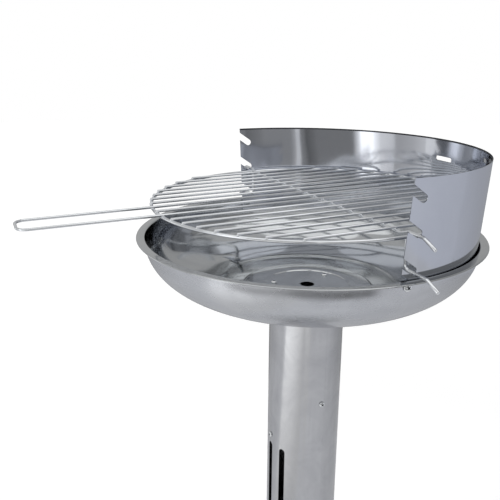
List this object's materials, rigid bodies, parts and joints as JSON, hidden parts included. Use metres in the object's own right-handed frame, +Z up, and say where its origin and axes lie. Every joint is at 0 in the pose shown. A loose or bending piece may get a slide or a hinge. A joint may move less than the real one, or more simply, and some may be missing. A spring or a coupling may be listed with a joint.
{
  "type": "charcoal grill",
  "caption": "Round charcoal grill on a sheet-metal column, with a fire bowl, a half-round wind shield and a lift-off wire grid with a long handle.",
  "frame": {"origin": "on the floor, at the middle of the floor plate's underside, under the axis of the column", "axes": "+Z up along the column; -Y towards the grid's handle, where the cook stands; +Y towards the back of the wind shield; X along the crossbar under the grid"},
  "size_m": [0.512, 0.5895, 0.849],
  "materials": {
    "base_steel": "satin",
    "column_steel": "satin",
    "bowl_steel": "polished",
    "shield_steel": "bright annealed",
    "chrome_wire": "chrome plated",
    "plated_screw": "bright zinc plated"
  },
  "bodies": {
    "root": {"base_plate": "base_steel", "base_socket": "base_steel", "socket_screw_1": "plated_screw", "socket_screw_2": "plated_screw", "socket_screw_3": "plated_screw", "column_tube": "column_steel", "seam_upper_screw": "plated_screw", "seam_upper_nut": "plated_screw", "seam_lower_screw": "plated_screw", "seam_lower_nut": "plated_screw", "column_front_screw": "plated_screw", "column_front_nut": "plated_screw", "foot_1_screw": "plated_screw", "foot_1_nut": "plated_screw", "foot_2_screw": "plated_screw", "foot_2_nut": "plated_screw", "foot_3_screw": "plated_screw", "foot_3_nut": "plated_screw", "fire_bowl": "bowl_steel", "bowl_screw_1": "plated_screw", "bowl_nut_1": "plated_screw", "bowl_screw_2": "plated_screw", "bowl_nut_2": "plated_screw", "bowl_screw_3": "plated_screw", "bowl_nut_3": "plated_screw", "wind_shield": "shield_steel", "shield_right_screw": "plated_screw", "shield_right_nut": "plated_screw", "shield_rear_screw": "plated_screw", "shield_rear_nut": "plated_screw", "shield_left_screw": "plated_screw", "shield_left_nut": "plated_screw"},
    "grid": {"grid_ring": "chrome_wire", "grid_wire_01": "chrome_wire", "grid_wire_02": "chrome_wire", "grid_wire_03": "chrome_wire", "grid_wire_04": "chrome_wire", "grid_wire_05": "chrome_wire", "grid_wire_06": "chrome_wire", "grid_wire_07": "chrome_wire", "grid_wire_09": "chrome_wire", "grid_wire_11": "chrome_wire", "grid_wire_12": "chrome_wire", "grid_wire_13": "chrome_wire", "grid_wire_14": "chrome_wire", "grid_wire_15": "chrome_wire", "grid_wire_16": "chrome_wire", "grid_wire_17": "chrome_wire", "grid_handle": "chrome_wire", "grid_crossbar": "chrome_wire", "grid_stay_right": "chrome_wire", "grid_stay_left": "chrome_wire"}
  },
  "joints": [
    {"name": "grid_lift_out", "type": "slide", "parent": "root", "child": "grid", "axis": [0, -0.8192, 0.5736], "range_m": [0, 0.2]}
  ]
}
